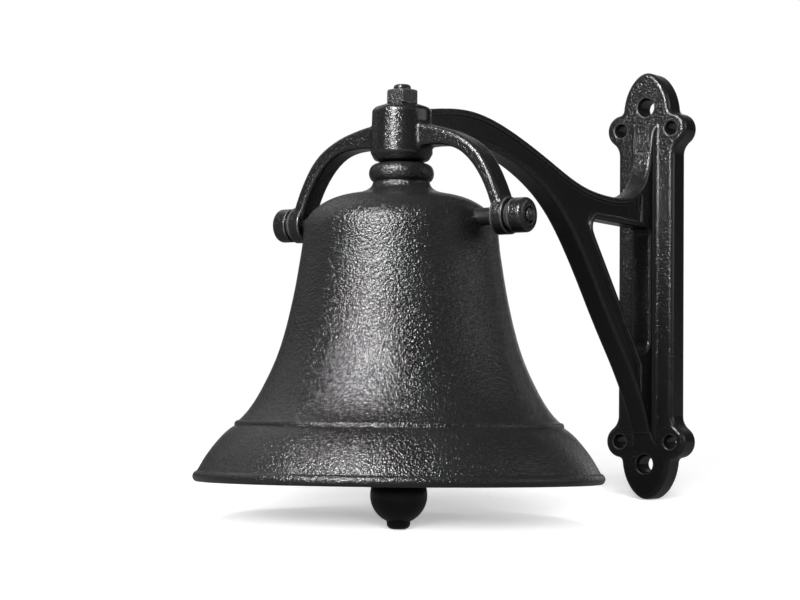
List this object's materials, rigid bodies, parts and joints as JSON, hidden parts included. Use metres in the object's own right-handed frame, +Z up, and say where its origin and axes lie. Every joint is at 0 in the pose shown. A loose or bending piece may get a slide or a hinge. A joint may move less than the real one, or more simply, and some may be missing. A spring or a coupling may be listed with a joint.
{
  "type": "dinner bell",
  "caption": "Wall-hung dinner bell on a cast bracket with an arched yoke, swinging clapper and shaped screw plate, painted black",
  "frame": {"origin": "middle of the wall plate's back face", "axes": "+X away from the wall, +Y along the wall, +Z up"},
  "size_m": [0.3578, 0.1996, 0.2521],
  "materials": {
    "casting": "satin black coat with a fine grain",
    "bell_coat": "satin black coat with a fine grain",
    "dark_steel": "black plated and coated steel",
    "clapper_black": "smooth satin black"
  },
  "bodies": {
    "bracket": {"wall_bracket": "casting", "bell": "bell_coat", "crown_bolt": "dark_steel", "crown_nut": "dark_steel", "crown_washer": "dark_steel", "crown_lock_nut": "dark_steel", "side_pin_near": "dark_steel", "side_pin_far": "dark_steel", "side_washer_near": "dark_steel", "side_washer_far": "dark_steel", "side_cap_near": "casting", "side_cap_far": "casting"},
    "clapper": {"clapper_rod": "clapper_black", "clapper_pin": "dark_steel", "clapper_ball": "clapper_black"}
  },
  "joints": [
    {"name": "clapper_swing", "type": "hinge", "parent": "bracket", "child": "clapper", "pos_m": [0.258, 0, 0.0038], "axis": [0, 1, 0], "range_deg": [-33.1, 33.1]}
  ]
}
